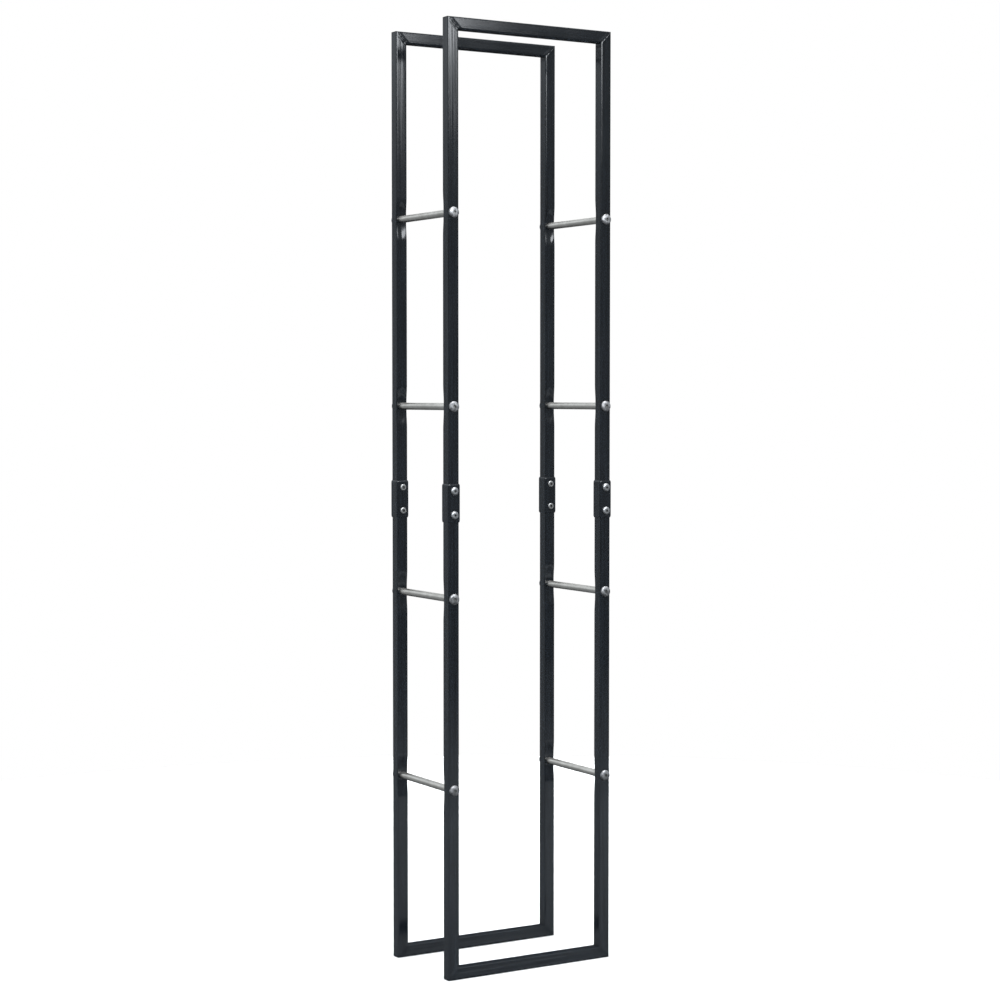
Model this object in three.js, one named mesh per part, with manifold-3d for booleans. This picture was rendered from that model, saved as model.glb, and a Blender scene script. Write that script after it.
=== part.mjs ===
// Tall, narrow firewood log rack. Two upright frames of square steel tube stand one behind the other, and
// eight round spacer rods hold them apart. Each frame is two identical U-shaped halves, one of them upside
// down, and a bolted sleeve joins their legs at mid height. Logs lie on the two bottom rails.
// Millimetres, +Z up, +X along the width. The front frame faces -Y.
// The origin is on the floor, under the middle.
import * as THREE from "three";
import { mergeVertices } from "three/addons/utils/BufferGeometryUtils.js";
import Module from "manifold-3d";

// Driving dimensions: the outside of the two frames, and the tube that they are made of.
const WIDTH = 400;
const DEPTH = 250;
const HEIGHT = 2000;
const TUBE = 25;
const TUBE_WALL = 1.2;
const TUBE_CORNER = 2.5;

// Legs and rails meet in mitres, with a thin gap that the weld fills.
const HALF_TUBE = TUBE / 2;
const LEG_X = WIDTH / 2 - HALF_TUBE;
const FRAME_Y = DEPTH / 2 - HALF_TUBE;
const MITRE_GAP = 0.2;
const HALVES_GAP = 0.5;
const LEG_END = HEIGHT / 2 - HALVES_GAP;

// Four rods a side, at even steps up the rack. Each leg is pressed in where a rod's end bears on it.
const ROD_PITCH = HEIGHT / 5;
const ROD_LEVELS = [1, 2, 3, 4];
const ROD_RADIUS = 7.5;
const DENT_DEPTH = 3.5;
const DENT_FLAT = 20;
const DENT_RAMP = 38;
const SEAT = 0.05;
const ROD_LENGTH = DEPTH - 2 * TUBE + 2 * DENT_DEPTH - 2 * SEAT;

// Sleeves over the joint between the halves, with chamfered ends.
const SLEEVE = 29;
const SLEEVE_BORE = 25.6;
const SLEEVE_LENGTH = 80;
const SLEEVE_CORNER = 3.5;
const SLEEVE_CHAMFER = 4;
const SLEEVE_END = 26.8;
const SLEEVE_BOLT_OFFSET = 25;

// Fasteners: M8 bolts with low domed heads, and a barrel nut for each sleeve bolt. The rod bolts' heads
// are as wide as the tube's flat face. All have a socket for a hex key.
const THREAD_RADIUS = 4;
const HOLE_RADIUS = 4.3;
const ROD_BOLT = { head: 11.5, top: 4.5, height: 5.2, edge: 1.8, shank: 39.5, socket: 6 };
const SLEEVE_BOLT = { head: 8.75, top: 4.5, height: 5, edge: 2, shank: 24.5, socket: 5 };
const DOME_SHOULDER = 1;
const NUT = { head: 7, top: 5, height: 3.2, edge: 1.6, barrel: 5.2, barrelLength: 20, web: 2, socket: 6 };
const NUT_HOLE_RADIUS = 5.5;
const SOCKET_DEPTH = 2.8;
const ROUND_SIDES = 12;
const CORNER_STEPS = 2;

const paint = new THREE.MeshStandardMaterial({ color: 0x26292d, roughness: 0.28, metalness: 0.0 });
const rodZinc = new THREE.MeshStandardMaterial({ color: 0x9c9c98, roughness: 0.42, metalness: 1.0 });
const boltZinc = new THREE.MeshStandardMaterial({ color: 0xc9ccd0, roughness: 0.25, metalness: 1.0 });

const wasm = await Module();
wasm.setup();

function solidOf(geometry) {
  const bare = geometry.index ? geometry.toNonIndexed() : geometry.clone();
  bare.deleteAttribute("normal");
  bare.deleteAttribute("uv");
  const merged = mergeVertices(bare, 1e-4);
  return new wasm.Manifold(new wasm.Mesh({
    numProp: 3,
    vertProperties: merged.attributes.position.array,
    triVerts: new Uint32Array(merged.index.array),
  }));
}

function geometryOf(solid) {
  const mesh = solid.getMesh();
  return new THREE.BufferGeometry()
    .setAttribute("position", new THREE.BufferAttribute(mesh.vertProperties, 3))
    .setIndex(new THREE.BufferAttribute(mesh.triVerts, 1));
}

function cut(geometry, tools) {
  const left = tools.reduce((solid, tool) => solid.subtract(solidOf(tool)), solidOf(geometry));
  return geometryOf(left);
}

// A square outline with round corners, and a square hole in it.
function squareRing(side, corner, hole) {
  const half = side / 2;
  const centre = half - corner;
  const outline = new THREE.Shape();
  [[1, 1], [-1, 1], [-1, -1], [1, -1]].forEach(([sx, sy], quarter) => {
    const start = (quarter * Math.PI) / 2;
    outline.absarc(sx * centre, sy * centre, corner, start, start + Math.PI / 2, false);
  });
  const inner = hole / 2;
  const opening = new THREE.Path();
  opening.moveTo(-inner, -inner);
  opening.lineTo(-inner, inner);
  opening.lineTo(inner, inner);
  opening.lineTo(inner, -inner);
  opening.closePath();
  outline.holes.push(opening);
  return outline;
}

// Extrudes a section along +Z with one ring of it at each station, then lets moveRing shift each point.
function extrudeStations(section, stations, moveRing) {
  const last = stations.length - 1;
  const geometry = new THREE.ExtrudeGeometry(section, {
    depth: last,
    steps: last,
    bevelEnabled: false,
    curveSegments: CORNER_STEPS,
  });
  const points = geometry.attributes.position;
  const point = new THREE.Vector3();
  for (let i = 0; i < points.count; i++) {
    const ring = Math.round(points.getZ(i));
    point.set(points.getX(i), points.getY(i), stations[ring]);
    moveRing(point, ring === 0, ring === last);
    points.setXYZ(i, point.x, point.y, point.z);
  }
  return geometry;
}

const tubeSection = () => squareRing(TUBE, TUBE_CORNER, TUBE - 2 * TUBE_WALL);

// A hole along Y through a wall on one side of the tube or on both.
function drill(radius, z, fromY, toY) {
  const tool = new THREE.CylinderGeometry(radius, radius, toY - fromY, ROUND_SIDES);
  return tool.translate(0, (fromY + toY) / 2, z);
}

// How far the inner face is pressed in at a distance from the rod: its full depth, then easing out.
function dentDepth(away) {
  const share = THREE.MathUtils.clamp(1 - (away - DENT_FLAT / 2) / DENT_RAMP, 0, 1);
  return DENT_DEPTH * THREE.MathUtils.smoothstep(share, 0, 1);
}

// Heights at which the dent at a rod of height z starts, passes half its depth and is at its full depth.
function dentStations(z) {
  const offsets = [0, DENT_RAMP / 2, DENT_RAMP].map((ramp) => DENT_FLAT / 2 + ramp);
  return [...offsets.map((o) => z - o).reverse(), ...offsets.map((o) => z + o)];
}

// One leg of a lower half, its mitre down. side is -1 for the leg at -X and 1 for the leg at +X.
function legGeometry(side) {
  const levels = ROD_LEVELS.slice(0, 2).map((level) => level * ROD_PITCH);
  const stations = [HALF_TUBE + MITRE_GAP, ...levels.flatMap(dentStations), LEG_END];
  const leg = extrudeStations(tubeSection(), stations, (p, first) => {
    if (first) p.z -= side * p.x;
    if (p.y > 0) p.y -= Math.max(...levels.map((z) => dentDepth(Math.abs(p.z - z))));
  });
  const boltZ = HEIGHT / 2 - SLEEVE_BOLT_OFFSET;
  return cut(leg, [
    ...levels.map((z) => drill(HOLE_RADIUS, z, -TUBE, TUBE)),
    drill(HOLE_RADIUS, boltZ, -TUBE, 0),
    drill(NUT_HOLE_RADIUS, boltZ, 0, TUBE),
  ]);
}

// The rail of a lower half, along X, mitred to both legs.
function railGeometry() {
  const reach = LEG_X - MITRE_GAP;
  const rail = extrudeStations(tubeSection(), [-reach, reach], (p, first) => {
    p.z += first ? -p.x : p.x;
  });
  return rail.rotateY(Math.PI / 2);
}

function sleeveGeometry() {
  const half = SLEEVE_LENGTH / 2;
  const stations = [-half, SLEEVE_CHAMFER - half, half - SLEEVE_CHAMFER, half];
  const section = squareRing(SLEEVE, SLEEVE_CORNER, SLEEVE_BORE);
  const shell = extrudeStations(section, stations, (p, first, last) => {
    const outside = Math.max(Math.abs(p.x), Math.abs(p.y)) > SLEEVE_BORE / 2 + SEAT;
    if (outside && (first || last)) {
      p.x *= SLEEVE_END / SLEEVE;
      p.y *= SLEEVE_END / SLEEVE;
    }
  });
  return cut(shell, [-1, 1].flatMap((way) => [
    drill(HOLE_RADIUS, way * SLEEVE_BOLT_OFFSET, -SLEEVE, 0),
    drill(NUT_HOLE_RADIUS, way * SLEEVE_BOLT_OFFSET, 0, SLEEVE),
  ]));
}

function revolve(profile) {
  return new THREE.LatheGeometry(profile.map(([r, y]) => new THREE.Vector2(r, y)), ROUND_SIDES);
}

// A hex key's socket along Y, sunk from the face at y = mouth.
function hexSocket(acrossFlats, mouth) {
  const corner = acrossFlats / Math.sqrt(3);
  return new THREE.CylinderGeometry(corner, corner, 2 * SOCKET_DEPTH, 6).translate(0, mouth, 0);
}

// A bolt along +Y, its head below y = 0.
function boltGeometry(bolt) {
  const blank = revolve([
    [0, -bolt.height],
    [bolt.top, -bolt.height],
    [(bolt.top + bolt.head) / 2, DOME_SHOULDER - bolt.height],
    [bolt.head, -bolt.edge],
    [bolt.head, 0],
    [THREAD_RADIUS, 0],
    [THREAD_RADIUS, bolt.shank],
    [0, bolt.shank],
  ]);
  return cut(blank, [hexSocket(bolt.socket, -bolt.height)]);
}

// A barrel nut along Y, its head above y = 0 and its blind thread open towards -Y.
function nutGeometry() {
  const blank = revolve([
    [0, -NUT.web],
    [HOLE_RADIUS, -NUT.web],
    [HOLE_RADIUS, -NUT.barrelLength],
    [NUT.barrel, -NUT.barrelLength],
    [NUT.barrel, 0],
    [NUT.head, 0],
    [NUT.head, NUT.edge],
    [NUT.top, NUT.height],
    [0, NUT.height],
  ]);
  return cut(blank, [hexSocket(NUT.socket, NUT.height)]);
}

function rodGeometry() {
  const half = ROD_LENGTH / 2;
  return revolve([
    [HOLE_RADIUS, -half],
    [ROD_RADIUS, -half],
    [ROD_RADIUS, half],
    [HOLE_RADIUS, half],
    [HOLE_RADIUS, -half],
  ]);
}

const shapes = {
  leftLeg: legGeometry(-1),
  rightLeg: legGeometry(1),
  rail: railGeometry(),
  sleeve: sleeveGeometry(),
  rod: rodGeometry(),
  rodBolt: boltGeometry(ROD_BOLT),
  sleeveBolt: boltGeometry(SLEEVE_BOLT),
  nut: nutGeometry(),
};

function piece(name, geometry, material, x, y, z) {
  const mesh = new THREE.Mesh(geometry, material);
  mesh.name = name;
  mesh.position.set(x, y, z);
  return mesh;
}

// A U-shaped half frame, its rail down: leftName is the side that its -X leg has in the whole rack.
function halfFrame(place, railName, leftName, rightName) {
  const half = new THREE.Group();
  half.add(
    piece(`${place}_${leftName}_leg`, shapes.leftLeg, paint, -LEG_X, 0, 0),
    piece(`${place}_${rightName}_leg`, shapes.rightLeg, paint, LEG_X, 0, 0),
    piece(railName, shapes.rail, paint, 0, 0, HALF_TUBE),
  );
  return half;
}

// Sleeve, bolts and barrel nuts on one leg, and the rod bolts above and below them. Heads face -Y.
function legFittings(end, side, x) {
  const fittings = new THREE.Group();
  const middle = HEIGHT / 2;
  const face = SLEEVE / 2 + SEAT;
  fittings.add(piece(`${end}_${side}_sleeve`, shapes.sleeve, paint, x, 0, middle));
  for (const [level, way] of [["lower", -1], ["upper", 1]]) {
    const z = middle + way * SLEEVE_BOLT_OFFSET;
    fittings.add(
      piece(`sleeve_bolt_${end}_${side}_${level}`, shapes.sleeveBolt, boltZinc, x, -face, z),
      piece(`sleeve_nut_${end}_${side}_${level}`, shapes.nut, boltZinc, x, face, z),
    );
  }
  for (const level of ROD_LEVELS) {
    const name = `rod_bolt_${end}_${side}_${level}`;
    fittings.add(piece(name, shapes.rodBolt, boltZinc, x, -HALF_TUBE - SEAT, level * ROD_PITCH));
  }
  return fittings;
}

// A whole frame, facing -Y: the upper half is the lower half turned over.
function frame(end, minusX, plusX) {
  const whole = new THREE.Group();
  const lower = halfFrame(`${end}_lower`, `${end}_bottom_rail`, minusX, plusX);
  const upper = halfFrame(`${end}_upper`, `${end}_top_rail`, plusX, minusX);
  upper.rotation.y = Math.PI;
  upper.position.z = HEIGHT;
  whole.add(lower, upper, legFittings(end, minusX, -LEG_X), legFittings(end, plusX, LEG_X));
  return whole;
}

const front = frame("front", "left", "right");
front.position.y = -FRAME_Y;
const back = frame("back", "right", "left");
back.rotation.z = Math.PI;
back.position.y = FRAME_Y;

const rack = new THREE.Group();
rack.add(front, back);
for (const [side, x] of [["left", -LEG_X], ["right", LEG_X]]) {
  for (const level of ROD_LEVELS) {
    rack.add(piece(`spacer_rod_${side}_${level}`, shapes.rod, rodZinc, x, 0, level * ROD_PITCH));
  }
}

export default rack;
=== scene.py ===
# Firewood log rack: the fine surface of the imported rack. Metres, +Z up, front frame towards -Y.
# The sections follow the rack as it is put together: square tube, sleeves, spacer rods, bolts and
# nuts. The camera comes first, and the studio's floor, room and lamps come last.
import math

import bmesh
import bpy
from mathutils import Matrix, Vector


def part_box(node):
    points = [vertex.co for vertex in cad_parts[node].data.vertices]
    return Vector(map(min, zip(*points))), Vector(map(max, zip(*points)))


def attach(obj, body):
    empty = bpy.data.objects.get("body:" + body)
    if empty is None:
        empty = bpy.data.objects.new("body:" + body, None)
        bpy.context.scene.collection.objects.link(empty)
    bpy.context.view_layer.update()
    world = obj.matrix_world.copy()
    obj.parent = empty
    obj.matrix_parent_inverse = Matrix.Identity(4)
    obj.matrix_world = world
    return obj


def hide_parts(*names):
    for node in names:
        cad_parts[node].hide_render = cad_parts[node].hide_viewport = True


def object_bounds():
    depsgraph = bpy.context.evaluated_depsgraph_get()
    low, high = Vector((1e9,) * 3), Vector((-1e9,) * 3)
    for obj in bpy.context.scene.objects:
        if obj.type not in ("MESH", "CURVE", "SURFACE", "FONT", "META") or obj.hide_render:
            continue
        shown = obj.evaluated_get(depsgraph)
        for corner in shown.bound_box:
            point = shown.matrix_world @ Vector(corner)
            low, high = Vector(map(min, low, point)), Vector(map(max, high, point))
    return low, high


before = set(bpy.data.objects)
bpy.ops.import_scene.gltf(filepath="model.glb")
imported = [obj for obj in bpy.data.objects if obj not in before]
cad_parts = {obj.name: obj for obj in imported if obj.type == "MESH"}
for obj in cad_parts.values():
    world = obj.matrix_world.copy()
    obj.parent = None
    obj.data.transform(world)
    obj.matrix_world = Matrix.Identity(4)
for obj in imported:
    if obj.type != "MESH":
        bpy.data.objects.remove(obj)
cad_low, cad_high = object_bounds()

# Camera. It stands well back to the left of the rack's front, a little above the sleeves, and looks
# slightly down, through a long lens that keeps the uprights almost parallel.
camera_data = bpy.data.cameras.new("studio_camera")
camera_data.sensor_width = 36
camera_data.lens = 80.32
camera_data.clip_end = 100
camera = bpy.data.objects.new("studio_camera", camera_data)
camera.location = (-2.459, -4.144, 1.227)
camera.rotation_euler = (math.radians(87.27), 0, math.radians(-30.66))
bpy.context.scene.collection.objects.link(camera)
bpy.context.scene.camera = camera

# Paint on the square tube. A smooth, semi-gloss, almost black powder coat, sprayed and baked on, with
# the slight orange peel of powder and, under it, the faint lines that rolling leaves along the steel.
PAINT_DARK = (0.0030, 0.0048, 0.0076, 1)
PAINT_LIGHT = (0.0112, 0.0150, 0.0200, 1)
PAINT_SMOOTHEST = 0.11
PAINT_ROUGHEST = 0.17
PAINT_IOR = 1.5
PEEL_CELLS = 420
PEEL_HEIGHT = 0.000012
LINES_ACROSS = 260
LINES_ALONG = 7
LINES_HEIGHT = 0.00005
SWAY_SHARE = 0.42
SWAY_HEIGHT = 0.00035
NOISE_LOW = 0.3
NOISE_HIGH = 0.7


def shader_nodes(name):
    """A new material, with its node tree, its Principled shader and a node of Object coordinates."""
    material = bpy.data.materials.new(name)
    material.use_nodes = True
    tree = material.node_tree
    shader = tree.nodes["Principled BSDF"]
    coordinates = tree.nodes.new("ShaderNodeTexCoord")
    return material, tree, shader, coordinates.outputs["Object"]


def noise(tree, vector, stretch, detail):
    """A noise pattern with so many cells a metre along X, Y and Z."""
    mapping = tree.nodes.new("ShaderNodeMapping")
    mapping.inputs["Scale"].default_value = stretch
    tree.links.new(vector, mapping.inputs["Vector"])
    pattern = tree.nodes.new("ShaderNodeTexNoise")
    pattern.inputs["Scale"].default_value = 1
    pattern.inputs["Detail"].default_value = detail
    tree.links.new(mapping.outputs["Vector"], pattern.inputs["Vector"])
    return pattern.outputs["Fac"]


def ramp(tree, factor, low, high):
    """Blends from the colour low to the colour high over a noise pattern's middle range."""
    blend = tree.nodes.new("ShaderNodeValToRGB")
    blend.color_ramp.elements[0].position = NOISE_LOW
    blend.color_ramp.elements[0].color = low
    blend.color_ramp.elements[1].position = NOISE_HIGH
    blend.color_ramp.elements[1].color = high
    tree.links.new(factor, blend.inputs["Fac"])
    return blend.outputs["Color"]


def between(tree, factor, low, high):
    """Spreads a noise pattern's middle range from low to high."""
    spread = tree.nodes.new("ShaderNodeMapRange")
    spread.inputs["From Min"].default_value = NOISE_LOW
    spread.inputs["From Max"].default_value = NOISE_HIGH
    spread.inputs["To Min"].default_value = low
    spread.inputs["To Max"].default_value = high
    tree.links.new(factor, spread.inputs["Value"])
    return spread.outputs["Result"]


def relief(tree, shader, *layers):
    """Stacks bumps, each a pattern and its height in metres, and hands them to the shader."""
    below = None
    for pattern, height in layers:
        bump = tree.nodes.new("ShaderNodeBump")
        bump.inputs["Strength"].default_value = 1
        bump.inputs["Distance"].default_value = height
        tree.links.new(pattern, bump.inputs["Height"])
        if below:
            tree.links.new(below, bump.inputs["Normal"])
        below = bump.outputs["Normal"]
    tree.links.new(below, shader.inputs["Normal"])


def black_paint(name, lines):
    """Powder coat over steel with so many rolling lines a metre along X, Y and Z, that sway a little."""
    material, tree, shader, here = shader_nodes(name)
    clouds = noise(tree, here, (14, 14, 14), 5)
    peel = noise(tree, here, (PEEL_CELLS, PEEL_CELLS, PEEL_CELLS), 2)
    sway = noise(tree, here, [count * SWAY_SHARE for count in lines], 1)
    drawn = noise(tree, here, lines, 3)
    tree.links.new(ramp(tree, drawn, PAINT_DARK, PAINT_LIGHT), shader.inputs["Base Color"])
    tree.links.new(between(tree, clouds, PAINT_SMOOTHEST, PAINT_ROUGHEST), shader.inputs["Roughness"])
    relief(tree, shader, (sway, SWAY_HEIGHT), (drawn, LINES_HEIGHT), (peel, PEEL_HEIGHT))
    shader.inputs["IOR"].default_value = PAINT_IOR
    return material


upright_paint = black_paint("black_powder_coat_upright", (LINES_ACROSS, LINES_ACROSS, LINES_ALONG))
rail_paint = black_paint("black_powder_coat_rail", (LINES_ALONG, LINES_ACROSS, LINES_ACROSS))

# Square tube. Each frame is two welded U-shaped halves of 25 mm steel tube, mitred at the corners, and
# every leg is pressed in on its inner face where a spacer rod bears on it. Each length is one piece.
TUBE = 0.025
TUBE_WALL = 0.0012
TUBE_ROUND = 0.0028
ROUND_LOOPS = 6
DENT_DEPTH = 0.0024
DENT_FLAT = 0.009
DENT_REACH = 0.048
SPOON_DEPTH = 0.0011
SPOON_REACH = 0.043
SPOON_RAMP = 0.018
SPOON_HALF_WIDTH = 0.0115
LIP_HEIGHT = 0.00035
LIP_WIDTH = 0.008
LIP_RIPPLE = 0.4
GROOVE_WIDTH = 0.0012
RIPPLES_ALONG = (620, 250)
RIPPLES_ACROSS = 400
LIP_LOOPS = 14
DENT_LOOPS = 20
FACE_LOOPS = 6
FACE_LOOP_GAP = 0.0015
CREASE = 40


def open_tube(side, corner, low, high):
    """An upright square tube with no ends, round the Z axis, its long edges rounded."""
    bm = bmesh.new()
    size = Matrix.Diagonal((side, side, high - low, 1))
    bmesh.ops.create_cube(bm, size=1, matrix=Matrix.Translation((0, 0, (low + high) / 2)) @ size)
    upright = [e for e in bm.edges if abs(e.verts[0].co.z - e.verts[1].co.z) > (high - low) / 2]
    bmesh.ops.bevel(
        bm, geom=upright, offset=corner, offset_type="OFFSET", affect="EDGES", segments=ROUND_LOOPS,
        profile=0.5, material=-1)
    bm.normal_update()
    ends = [f for f in bm.faces if abs(f.normal.z) > 0.5]
    bmesh.ops.delete(bm, geom=ends, context="FACES_ONLY")
    return bm


def cut_line(bm, point, normal, trim=False):
    """Cuts an edge loop where the plane crosses the mesh. trim takes away what the normal points to."""
    everything = [*bm.verts, *bm.edges, *bm.faces]
    bmesh.ops.bisect_plane(
        bm, geom=everything, dist=1e-7, plane_co=point, plane_no=normal, clear_outer=trim)


def add_piece(bm, name, material, node):
    """Makes the mesh a smooth-shaded object that rides on the rack, and hides the CAD node it takes the
    place of.
    """
    mesh = bpy.data.meshes.new(name)
    bm.to_mesh(mesh)
    bm.free()
    mesh.shade_smooth()
    mesh.set_sharp_from_angle(angle=math.radians(CREASE))
    mesh.materials.append(material)
    piece = bpy.data.objects.new(name, mesh)
    bpy.context.scene.collection.objects.link(piece)
    shading = piece.modifiers.new("flat_faces_stay_flat", "WEIGHTED_NORMAL")
    shading.weight = 100
    shading.keep_sharp = True
    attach(piece, "root")
    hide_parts(node)
    return piece


def weld_lip(distance, along):
    """The height of the dressed weld at a distance from the mitre: a swelling with a groove and ripples."""
    swelling = max(0, 1 - (distance / LIP_WIDTH) ** 2) ** 2
    groove = max(0, 1 - distance / GROOVE_WIDTH)
    fine, slow = RIPPLES_ALONG
    ripple = math.sin(along * fine) * math.sin(along * slow + distance * RIPPLES_ACROSS)
    return LIP_HEIGHT * (swelling * (1 + LIP_RIPPLE * ripple) - groove)


def mitre_cuts(bm, towards):
    """Trims the tube's low end to a mitre that rises towards +X or -X, and cuts loops next to it."""
    out = Vector((towards, 0, -1)).normalized()
    corner = Vector((0, 0, TUBE / 2))
    cut_line(bm, corner, out, trim=True)
    for loop in range(1, LIP_LOOPS + 1):
        cut_line(bm, corner - out * LIP_WIDTH * loop / LIP_LOOPS, out)


def cut_face_loops(bm):
    """Cuts loops along the tube, over the flat middle of its front and back."""
    for loop in range(-FACE_LOOPS, FACE_LOOPS + 1):
        cut_line(bm, (loop * FACE_LOOP_GAP, 0, 0), (1, 0, 0))


def swell_weld(bm, towards):
    """Raises the weld's lip on the tube's front, back and inner faces. The outer face is ground flat."""
    out = Vector((towards, 0, -1)).normalized()
    for vert in bm.verts:
        away = (Vector((0, 0, TUBE / 2)) - vert.co).dot(out)
        if away > LIP_WIDTH:
            continue
        if abs(vert.co.y) > TUBE / 2 - 1e-5:
            vert.co.y += math.copysign(weld_lip(away, vert.co.x), vert.co.y)
        elif vert.co.x * towards > TUBE / 2 - 1e-5:
            vert.co.x += towards * weld_lip(away, vert.co.y)


def ease(share):
    """Goes from 0 to 1 as share does, starting and ending level."""
    share = max(0, min(1, share))
    return share * share * (3 - 2 * share)


def press_dents(bm, levels):
    """Presses in the +Y face at each rod's height, corners and all, and spoons out its middle further."""
    for vert in bm.verts:
        if vert.co.y < TUBE / 4:
            continue
        across = min(1, abs(vert.co.x) / SPOON_HALF_WIDTH)
        spoon_reach = SPOON_REACH * math.sqrt(1 - across ** 2)
        for level in levels:
            away = abs(vert.co.z - level)
            face = ease((DENT_REACH - away) / (DENT_REACH - DENT_FLAT))
            spoon = ease((spoon_reach - away) / SPOON_RAMP) * (1 - across ** 2)
            vert.co.y -= DENT_DEPTH * face + SPOON_DEPTH * spoon


def place(bm, matrix):
    """Puts the mesh in its place, and turns its faces round again if that mirrors it."""
    bmesh.ops.transform(bm, matrix=matrix, verts=bm.verts)
    if matrix.determinant() < 0:
        bmesh.ops.reverse_faces(bm, faces=bm.faces)


def middle_of(node):
    """The centre of a CAD node's box."""
    low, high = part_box(node)
    return (low + high) / 2


rod_levels = [middle_of(f"spacer_rod_left_{n}").z for n in (1, 2)]
rack_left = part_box("front_lower_left_leg")[0].x
rack_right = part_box("front_lower_right_leg")[1].x
rack_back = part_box("back_top_rail")[1].y


def tube_leg(node, end, half, side):
    """A leg, modelled standing on its mitre with its inner face to +Y and its rail to +X."""
    low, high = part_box(node)
    tall = high.z - low.z
    bm = open_tube(TUBE, TUBE_ROUND, 0, tall)
    mitre_cuts(bm, 1)
    for level in rod_levels:
        for loop in range(-DENT_LOOPS, DENT_LOOPS + 1):
            cut_line(bm, (0, 0, level + DENT_REACH * loop / DENT_LOOPS), (0, 0, 1))
    cut_face_loops(bm)
    swell_weld(bm, 1)
    press_dents(bm, rod_levels)
    bmesh.ops.recalc_face_normals(bm, faces=bm.faces)
    bmesh.ops.solidify(bm, geom=bm.faces, thickness=TUBE_WALL)
    flip = Matrix.Diagonal((-side, -end, -half, 1))
    base = cad_low.z if half < 0 else cad_high.z
    across = middle_of(node).x
    place(bm, Matrix.Translation((across, end * (rack_back - TUBE / 2), base)) @ flip)
    add_piece(bm, f"{node}_tube", upright_paint, node)


for end_name, end in (("front", -1), ("back", 1)):
    for half_name, half in (("lower", -1), ("upper", 1)):
        for side_name, side in (("left", -1), ("right", 1)):
            tube_leg(f"{end_name}_{half_name}_{side_name}_leg", end, half, side)


def tube_rail(node, end, half):
    """A rail, modelled upright with a mitre at both ends, then laid along X."""
    wide = rack_right - rack_left
    bm = open_tube(TUBE, TUBE_ROUND, 0, wide)
    cut_face_loops(bm)
    mitre_cuts(bm, 1)
    upside_down = Matrix.Translation((0, 0, wide)) @ Matrix.Diagonal((1, 1, -1, 1))
    swell_weld(bm, 1)
    bmesh.ops.transform(bm, matrix=upside_down, verts=bm.verts)
    mitre_cuts(bm, 1)
    swell_weld(bm, 1)
    bmesh.ops.recalc_face_normals(bm, faces=bm.faces)
    bmesh.ops.solidify(bm, geom=bm.faces, thickness=TUBE_WALL)
    lay = Matrix.Rotation(math.radians(90), 4, "Y")
    flip = Matrix.Diagonal((1, -end, half, 1))
    corner = Vector((rack_left, end * (rack_back - TUBE / 2), middle_of(node).z))
    place(bm, Matrix.Translation(corner) @ flip @ lay)
    add_piece(bm, f"{node}_tube", rail_paint, node)


for end_name, end in (("front", -1), ("back", 1)):
    for half_name, half in (("bottom", -1), ("top", 1)):
        tube_rail(f"{end_name}_{half_name}_rail", end, half)

# Sleeves. A short square socket of thicker steel slides over the joint between the upper and the lower
# leg. Its ends are drawn in a little towards the tube, and it has the same powder coat.
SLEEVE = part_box("front_left_sleeve")[1].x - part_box("front_left_sleeve")[0].x
SLEEVE_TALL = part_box("front_left_sleeve")[1].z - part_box("front_left_sleeve")[0].z
SLEEVE_ROUND = 0.0036
SLEEVE_BORE = 0.0256
SLEEVE_LIP = 0.0268
SLEEVE_TAPER = 0.0045
SLEEVE_LOOPS = (0.0006, 0.0016, 0.0030, SLEEVE_TAPER, 0.012)

for end_name in ("front", "back"):
    for side_name in ("left", "right"):
        node = f"{end_name}_{side_name}_sleeve"
        top = SLEEVE_TALL / 2
        bm = open_tube(SLEEVE, SLEEVE_ROUND, -top, top)
        for inset in SLEEVE_LOOPS:
            cut_line(bm, (0, 0, top - inset), (0, 0, 1))
            cut_line(bm, (0, 0, inset - top), (0, 0, 1))
        for vert in bm.verts:
            near = max(0, 1 - (top - abs(vert.co.z)) / SLEEVE_TAPER)
            drawn_in = 1 - (1 - SLEEVE_LIP / SLEEVE) * near ** 2
            vert.co.x *= drawn_in
            vert.co.y *= drawn_in
        rims = [e for e in bm.edges if e.is_boundary]
        mouth = bmesh.ops.extrude_edge_only(bm, edges=rims)["geom"]
        mouth = [v for v in mouth if isinstance(v, bmesh.types.BMVert)]
        bore = Matrix.Diagonal((SLEEVE_BORE / SLEEVE_LIP, SLEEVE_BORE / SLEEVE_LIP, 1, 1))
        bmesh.ops.transform(bm, matrix=bore, verts=mouth)
        bmesh.ops.bridge_loops(bm, edges=[e for e in bm.edges if e.is_boundary])
        bmesh.ops.recalc_face_normals(bm, faces=bm.faces)
        place(bm, Matrix.Translation(middle_of(node)))
        add_piece(bm, f"{node}_socket", upright_paint, node)

# Spacer rods. Eight plain steel tubes hold the two frames apart. They are cut to length with a small
# chamfer, are dull zinc plated, and keep the fine lines of the drawing die along them.
ROD_GREY = (0.60, 0.58, 0.54, 1)
ROD_PALE = (0.78, 0.755, 0.71, 1)
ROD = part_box("spacer_rod_left_1")[1].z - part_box("spacer_rod_left_1")[0].z
ROD_BORE = 0.0043
ROD_CHAMFER = 0.0007
ROUND_STEPS = 48
ROD_SMOOTHEST = 0.26
ROD_ROUGHEST = 0.4
DIE_LINES_HEIGHT = 0.00003


def drawn_zinc(name):
    """Dull zinc on drawn steel: the die's fine lines along Y, and cloudy stains."""
    material, tree, shader, here = shader_nodes(name)
    lines = noise(tree, here, (900, 9, 900), 3)
    clouds = noise(tree, here, (60, 45, 60), 4)
    tree.links.new(ramp(tree, clouds, ROD_GREY, ROD_PALE), shader.inputs["Base Color"])
    tree.links.new(between(tree, lines, ROD_SMOOTHEST, ROD_ROUGHEST), shader.inputs["Roughness"])
    relief(tree, shader, (lines, DIE_LINES_HEIGHT))
    shader.inputs["Metallic"].default_value = 1
    return material


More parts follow.
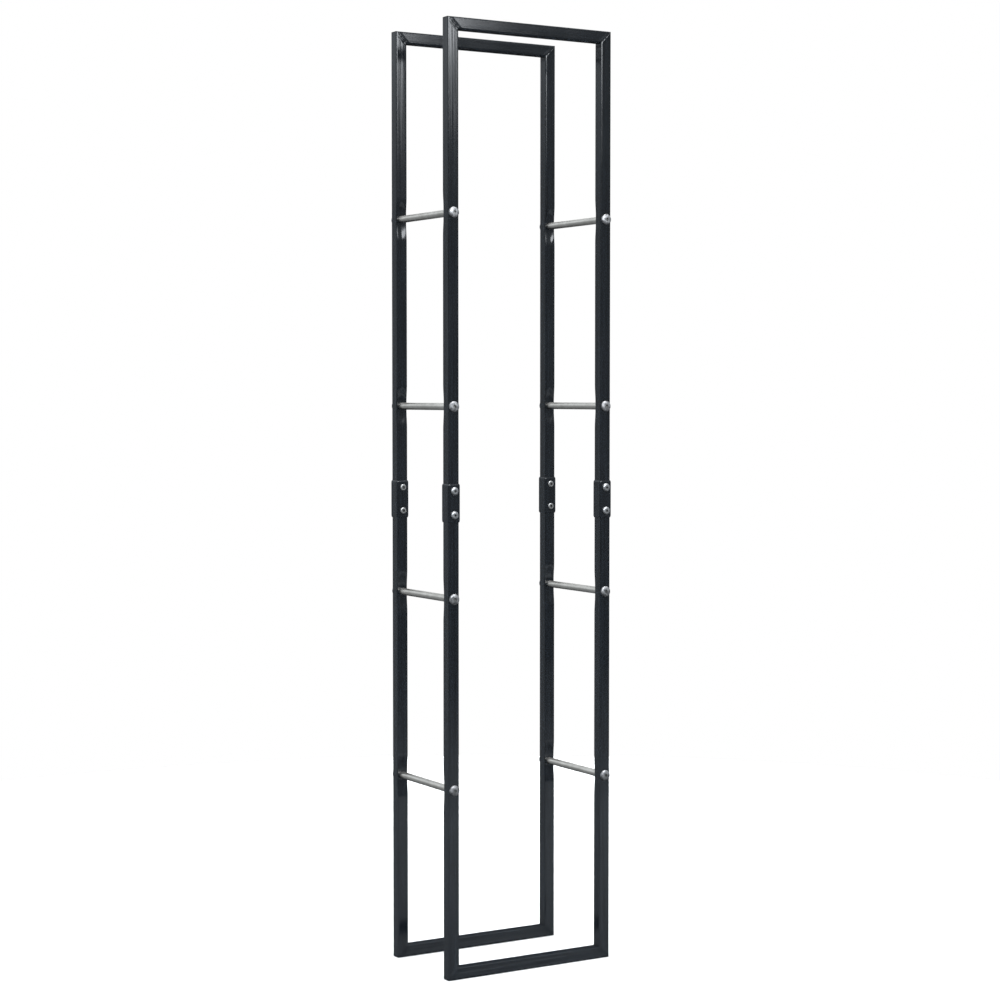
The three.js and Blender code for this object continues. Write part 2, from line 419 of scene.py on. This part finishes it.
def turned(profile):
    """Turns a profile of (radius, distance along Y) round the Y axis. It closes on the axis or itself."""
    bm = bmesh.new()
    verts = [bm.verts.new((radius, along, 0)) for radius, along in profile]
    edges = [bm.edges.new(pair) for pair in zip(verts, verts[1:])]
    if profile[0][0] > 0:
        edges.append(bm.edges.new((verts[-1], verts[0])))
    bmesh.ops.spin(
        bm, geom=[*verts, *edges], cent=(0, 0, 0), axis=(0, 1, 0), angle=math.tau,
        steps=ROUND_STEPS, use_merge=True)
    bmesh.ops.remove_doubles(bm, verts=bm.verts, dist=1e-6)
    bmesh.ops.recalc_face_normals(bm, faces=bm.faces)
    return bm


rod_zinc = drawn_zinc("drawn_zinc_rod")
for side_name in ("left", "right"):
    for level in (1, 2, 3, 4):
        node = f"spacer_rod_{side_name}_{level}"
        half_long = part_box(node)[1].y
        bm = turned([
            (ROD_BORE, -half_long),
            (ROD / 2 - ROD_CHAMFER, -half_long),
            (ROD / 2, ROD_CHAMFER - half_long),
            (ROD / 2, half_long - ROD_CHAMFER),
            (ROD / 2 - ROD_CHAMFER, half_long),
            (ROD_BORE, half_long),
        ])
        place(bm, Matrix.Translation(middle_of(node)))
        add_piece(bm, f"{node}_tube", rod_zinc, node)

# Rod bolts. An M8 bolt with a low, wide domed head and a socket for a hex key holds each end of each
# rod, from the outer face of the frame. They are steel with mottled, satin zinc plating. The socket and
# the flat rim round it are given darker zinc colours: painted shade.
SATIN_GREY = (0.12, 0.12, 0.125, 1)
SATIN_PALE = (0.52, 0.52, 0.53, 1)
# The darker zinc inside each rod bolt's socket is painted shade.
SOCKET_SHADE_GREY = (0.10, 0.10, 0.10, 1)
SOCKET_SHADE_PALE = (0.34, 0.34, 0.335, 1)
# The darker zinc on the flat rim round each rod bolt's socket is painted shade.
RIM_SHADE_GREY = (0.12, 0.12, 0.12, 1)
RIM_SHADE_PALE = (0.42, 0.42, 0.415, 1)
COARSE_MOTTLE = 190
MOTTLE_HEIGHT = 0.00012
MARKS_HEIGHT = 0.00003
THREAD = 0.004
THREAD_CHAMFER = 0.001
ROD_HEX_KEY = 0.006
SOCKET_DEPTH = 0.0028
SOCKET_RIM = 0.0004
DOME_STEPS = 6
ROD_HEAD_TOP = 0.0045
ROD_HEAD_EDGE = 0.0018
ROD_BOLT_LONG = 0.0395


def zinc_plating(name, grey, pale, smoothest, roughest, mottle):
    """Zinc plating with tiny tool marks and so many soft spots a metre."""
    material, tree, shader, here = shader_nodes(name)
    clouds = noise(tree, here, (mottle, mottle, mottle), 4)
    marks = noise(tree, here, (1500, 500, 1500), 3)
    tree.links.new(ramp(tree, clouds, grey, pale), shader.inputs["Base Color"])
    tree.links.new(between(tree, marks, smoothest, roughest), shader.inputs["Roughness"])
    relief(tree, shader, (clouds, MOTTLE_HEIGHT), (marks, MARKS_HEIGHT))
    shader.inputs["Metallic"].default_value = 1
    return material


def domed_head(radius, tall, edge, top):
    """A head's outline above y = 0: its flat top, a dome like part of an ellipse, and a straight edge."""
    bend = [math.radians(90 * step / DOME_STEPS) for step in range(DOME_STEPS + 1)]
    dome = [(top + (radius - top) * math.sin(a), -edge - (tall - edge) * math.cos(a)) for a in bend]
    return [(0, -tall), *dome, (radius, 0)]


def sink_socket(bm, top, hex_key):
    """Sinks a hexagon key's socket into the flat top of a turned head, and gives it the second material, a
    darker zinc that is painted shade.
    """
    cap = [f for f in bm.faces if all(abs(v.co.y - top) < 1e-6 for v in f.verts)]
    cap = bmesh.ops.dissolve_faces(bm, faces=cap)["region"]
    bmesh.ops.inset_region(bm, faces=cap, thickness=SOCKET_RIM)
    for vert in cap[0].verts:
        turn = math.atan2(vert.co.z, vert.co.x) % math.radians(60)
        reach = hex_key / 2 / math.cos(turn - math.radians(30))
        side = Vector((vert.co.x, 0, vert.co.z)).normalized() * reach
        vert.co = (side.x, top, side.z)
    made = bmesh.ops.extrude_face_region(bm, geom=cap)["geom"]
    bmesh.ops.delete(bm, geom=cap, context="FACES_ONLY")
    floor = [v for v in made if isinstance(v, bmesh.types.BMVert)]
    bmesh.ops.translate(bm, verts=floor, vec=(0, SOCKET_DEPTH, 0))
    for face in {face for vert in floor for face in vert.link_faces}:
        face.material_index = 1


def bolt(head, long, hex_key):
    """A bolt along +Y: its head's outline is given, and its shank ends at y = long."""
    bm = turned([
        *head,
        (THREAD, 0),
        (THREAD, long - THREAD_CHAMFER),
        (THREAD - THREAD_CHAMFER, long),
        (0, long),
    ])
    sink_socket(bm, head[0][1], hex_key)
    bmesh.ops.recalc_face_normals(bm, faces=bm.faces)
    return bm


def half_width(node):
    """Half of a CAD node's size along X."""
    low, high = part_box(node)
    return (high.x - low.x) / 2


satin_zinc = zinc_plating("satin_zinc_rod_bolt", SATIN_GREY, SATIN_PALE, 0.42, 0.58, COARSE_MOTTLE)
# The socket's darker zinc is painted shade.
painted_shade_socket_zinc = zinc_plating(
    "zinc_rod_bolt_socket_painted_shade", SOCKET_SHADE_GREY, SOCKET_SHADE_PALE, 0.45, 0.6, COARSE_MOTTLE)
# The rim's darker zinc is painted shade.
painted_shade_rim_zinc = zinc_plating("zinc_socket_rim_painted_shade", RIM_SHADE_GREY, RIM_SHADE_PALE, 0.35, 0.5, COARSE_MOTTLE)
for end_name, end in (("front", -1), ("back", 1)):
    for side_name in ("left", "right"):
        for level in (1, 2, 3, 4):
            node = f"rod_bolt_{end_name}_{side_name}_{level}"
            low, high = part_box(node)
            tall = (high.y if end > 0 else -low.y) - rack_back
            head = domed_head(half_width(node), tall, ROD_HEAD_EDGE, ROD_HEAD_TOP)
            bm = bolt(head, ROD_BOLT_LONG, ROD_HEX_KEY)
            # The flat rim round the socket takes the third material, a darker zinc that is painted shade.
            for face in bm.faces:
                if all(abs(vert.co.y + tall) < 1e-6 for vert in face.verts):
                    face.material_index = 2
            seat = Vector((middle_of(node).x, end * rack_back, middle_of(node).z))
            place(bm, Matrix.Translation(seat) @ Matrix.Diagonal((1, -end, 1, 1)))
            piece = add_piece(bm, f"{node}_domed", satin_zinc, node)
            piece.data.materials.append(painted_shade_socket_zinc)
            piece.data.materials.append(painted_shade_rim_zinc)

# Sleeve bolts and their nuts. Each sleeve is clamped to both legs by two M8 bolts with smaller, rounder
# heads on the outside, each driven into a barrel nut whose low round head, of duller zinc, sits inside.
# Their sockets are given a dark zinc colour: painted shade.
ZINC_GREY = (0.26, 0.265, 0.27, 1)
ZINC_PALE = (0.58, 0.59, 0.60, 1)
# The dark zinc inside the sleeve bolts' and nuts' sockets is painted shade.
HOLE_SHADE_GREY = (0.07, 0.07, 0.07, 1)
HOLE_SHADE_PALE = (0.18, 0.18, 0.175, 1)
NUT_GREY = (0.34, 0.34, 0.335, 1)
NUT_PALE = (0.52, 0.52, 0.51, 1)
FINE_MOTTLE = 330
SLEEVE_HEAD_TALL = 0.005
SLEEVE_HEAD_EDGE = 0.002
SLEEVE_HEAD_TOP = 0.0045
SLEEVE_BOLT_LONG = 0.0245
SLEEVE_HEX_KEY = 0.005
NUT_HEAD_TALL = 0.0032
NUT_HEAD_EDGE = 0.0016
NUT_HEAD_TOP = 0.005
NUT_HEX_KEY = 0.006
NUT_BARREL = 0.0052
NUT_LONG = 0.020
NUT_WEB = 0.003

bolt_zinc = zinc_plating("bright_zinc_sleeve_bolt", ZINC_GREY, ZINC_PALE, 0.28, 0.45, FINE_MOTTLE)
# The sockets' dark zinc is painted shade.
painted_shade_hole_zinc = zinc_plating("zinc_socket_painted_shade", HOLE_SHADE_GREY, HOLE_SHADE_PALE, 0.45, 0.6, FINE_MOTTLE)
nut_zinc = zinc_plating("dull_zinc_nut", NUT_GREY, NUT_PALE, 0.3, 0.45, FINE_MOTTLE)
for end_name, end in (("front", -1), ("back", 1)):
    for side_name in ("left", "right"):
        sleeve = middle_of(f"{end_name}_{side_name}_sleeve")
        for level in ("lower", "upper"):
            node = f"sleeve_bolt_{end_name}_{side_name}_{level}"
            head = domed_head(half_width(node), SLEEVE_HEAD_TALL, SLEEVE_HEAD_EDGE, SLEEVE_HEAD_TOP)
            bm = bolt(head, SLEEVE_BOLT_LONG, SLEEVE_HEX_KEY)
            seat = Vector((sleeve.x, sleeve.y + end * SLEEVE / 2, middle_of(node).z))
            place(bm, Matrix.Translation(seat) @ Matrix.Diagonal((1, -end, 1, 1)))
            piece = add_piece(bm, f"{node}_domed", bolt_zinc, node)
            piece.data.materials.append(painted_shade_hole_zinc)

            node = f"sleeve_nut_{end_name}_{side_name}_{level}"
            head = domed_head(half_width(node), NUT_HEAD_TALL, NUT_HEAD_EDGE, NUT_HEAD_TOP)
            bm = turned([
                *head,
                (NUT_BARREL, 0),
                (NUT_BARREL, NUT_LONG),
                (THREAD, NUT_LONG),
                (THREAD, NUT_WEB),
                (0, NUT_WEB),
            ])
            sink_socket(bm, head[0][1], NUT_HEX_KEY)
            bmesh.ops.recalc_face_normals(bm, faces=bm.faces)
            seat = Vector((sleeve.x, sleeve.y - end * SLEEVE / 2, middle_of(node).z))
            place(bm, Matrix.Translation(seat) @ Matrix.Diagonal((1, end, 1, 1)))
            piece = add_piece(bm, f"{node}_barrel", nut_zinc, node)
            piece.data.materials.append(painted_shade_hole_zinc)

# Studio floor. A round sheet of white paper under the rack, lit from above until it is as white as the
# backdrop, so that no edge of it shows. The rack doesn't mirror it.
FLOOR_RADIUS = 2.7
PAPER_GREY = (0.84, 0.84, 0.84, 1)
PAPER_PALE = (0.88, 0.88, 0.88, 1)

bm = bmesh.new()
bmesh.ops.create_circle(bm, cap_ends=True, segments=96, radius=FLOOR_RADIUS)
floor_mesh = bpy.data.meshes.new("studio_floor")
bm.to_mesh(floor_mesh)
bm.free()
floor = bpy.data.objects.new("studio_floor", floor_mesh)
bpy.context.scene.collection.objects.link(floor)
paper, tree, shader, here = shader_nodes("white_paper")
fibre = noise(tree, here, (3, 3, 3), 3)
tree.links.new(ramp(tree, fibre, PAPER_GREY, PAPER_PALE), shader.inputs["Base Color"])
shader.inputs["Roughness"].default_value = 0.9
floor_mesh.materials.append(paper)
floor.visible_glossy = False

# Room. The backdrop is white. What the rack mirrors is a dim studio: in front a pale table edge low
# down, behind an even wall, and darkest behind on the right, which leaves the tubes' edges there black.
BACKDROP = 1.0
STUDIO_TINT = (0.89, 0.95, 1.0, 1)
DARK_SIDE = (0.75, 0.66, 0)
DARK_SHARE = 0.06
DARK_EDGE = 0.70
DARK_CORE = 0.92
CORNER_DEPTH = 0.3
FRONT_HEIGHTS = [
    (-1.0, 0.08),
    (-0.45, 0.20),
    (-0.24, 0.45),
    (-0.205, 1.0),
    (-0.185, 1.0),
    (-0.14, 0.20),
    (-0.11, 0.09),
    (-0.06, 0.34),
    (0.05, 0.30),
    (0.12, 0.34),
    (0.30, 0.60),
    (1.0, 1.0),
]
BACK_HEIGHTS = [(-1.0, 0.08), (-0.30, 0.28), (-0.05, 0.36), (0.10, 0.36), (0.17, 0.85), (1.0, 0.9)]

room = bpy.data.worlds.new("white_room")
room.use_nodes = True
tree = room.node_tree
direction = tree.nodes.new("ShaderNodeTexCoord")
split = tree.nodes.new("ShaderNodeSeparateXYZ")
tree.links.new(direction.outputs["Generated"], split.inputs["Vector"])


def fade(value, start, stop, first, last):
    """A smooth change from first to last while the value goes from start to stop."""
    change = tree.nodes.new("ShaderNodeMapRange")
    change.interpolation_type = "SMOOTHSTEP"
    change.inputs["From Min"].default_value = start
    change.inputs["From Max"].default_value = stop
    change.inputs["To Min"].default_value = first
    change.inputs["To Max"].default_value = last
    tree.links.new(value, change.inputs["Value"])
    return change.outputs["Result"]


def by_height(heights):
    """The brightness of the studio's walls by the height of the direction looked in."""
    rise = tree.nodes.new("ShaderNodeMapRange")
    rise.inputs["From Min"].default_value = -1
    tree.links.new(split.outputs["Z"], rise.inputs["Value"])
    bands = tree.nodes.new("ShaderNodeValToRGB")
    stops = bands.color_ramp.elements
    for number, (height, grey) in enumerate(heights):
        stop = stops[number] if number < 2 else stops.new(1)
        stop.position = (height + 1) / 2
        stop.color = (grey, grey, grey, 1)
    tree.links.new(rise.outputs["Result"], bands.inputs["Fac"])
    return bands.outputs["Color"]


walls = tree.nodes.new("ShaderNodeMix")
walls.data_type = "RGBA"
tree.links.new(fade(split.outputs["Y"], -CORNER_DEPTH, CORNER_DEPTH, 0, 1), walls.inputs["Factor"])
tree.links.new(by_height(FRONT_HEIGHTS), walls.inputs["A"])
tree.links.new(by_height(BACK_HEIGHTS), walls.inputs["B"])
aim = tree.nodes.new("ShaderNodeVectorMath")
aim.operation = "DOT_PRODUCT"
aim.inputs[1].default_value = DARK_SIDE
tree.links.new(direction.outputs["Generated"], aim.inputs[0])
strength = tree.nodes.new("ShaderNodeMath")
strength.operation = "MULTIPLY"
tree.links.new(walls.outputs["Result"], strength.inputs[0])
tree.links.new(fade(aim.outputs["Value"], DARK_EDGE, DARK_CORE, 1, DARK_SHARE), strength.inputs[1])
studio = tree.nodes["Background"]
studio.inputs["Color"].default_value = STUDIO_TINT
tree.links.new(strength.outputs["Value"], studio.inputs["Strength"])
backdrop = tree.nodes.new("ShaderNodeBackground")
backdrop.inputs["Color"].default_value = (1, 1, 1, 1)
backdrop.inputs["Strength"].default_value = BACKDROP
seen = tree.nodes.new("ShaderNodeLightPath")
choice = tree.nodes.new("ShaderNodeMixShader")
tree.links.new(seen.outputs["Is Camera Ray"], choice.inputs["Fac"])
tree.links.new(studio.outputs["Background"], choice.inputs[1])
tree.links.new(backdrop.outputs["Background"], choice.inputs[2])
tree.links.new(choice.outputs["Shader"], tree.nodes["World Output"].inputs["Surface"])
bpy.context.scene.world = room

# Lamps. An even light from straight above whitens the floor. A long soft box hangs in front, with a
# faint glow below it, and a weaker one to its left. They are only mirrored: they don't light the paint.
LAMP_TINT = (0.92, 0.96, 1.0)
OVERHEAD_STRENGTH = 4.1
OVERHEAD_SPREAD = 40


def soft_box(name, where, target, wide, tall, radiance):
    """A rectangular area lamp that faces its target, as bright as radiance wherever it is mirrored."""
    lamp = bpy.data.lights.new(name, "AREA")
    lamp.shape = "RECTANGLE"
    lamp.size = wide
    lamp.size_y = tall
    lamp.energy = radiance * math.pi * wide * tall
    lamp.color = LAMP_TINT
    box = bpy.data.objects.new(name, lamp)
    box.location = where
    box.rotation_mode = "QUATERNION"
    box.rotation_quaternion = (Vector(target) - Vector(where)).to_track_quat("-Z", "Y")
    box.visible_diffuse = False
    bpy.context.scene.collection.objects.link(box)


soft_box("front_soft_box", (-0.20, -2.7, 2.80), (-0.20, 0, 2.80), 3.0, 0.9, 10)
soft_box("glow_below_it", (0.0, -2.7, 2.24), (0.0, 0, 2.24), 2.6, 0.22, 2.4)
soft_box("camera_soft_box", (-2.0, -2.75, 2.8), (-2.0, 0, 2.8), 2.6, 0.9, 7)
overhead = bpy.data.lights.new("overhead_light", "SUN")
overhead.energy = OVERHEAD_STRENGTH
overhead.angle = math.radians(OVERHEAD_SPREAD)
overhead_lamp = bpy.data.objects.new("overhead_light", overhead)
overhead_lamp.location = (0, 0, 5)
bpy.context.scene.collection.objects.link(overhead_lamp)
bpy.context.scene.view_settings.view_transform = "Standard"
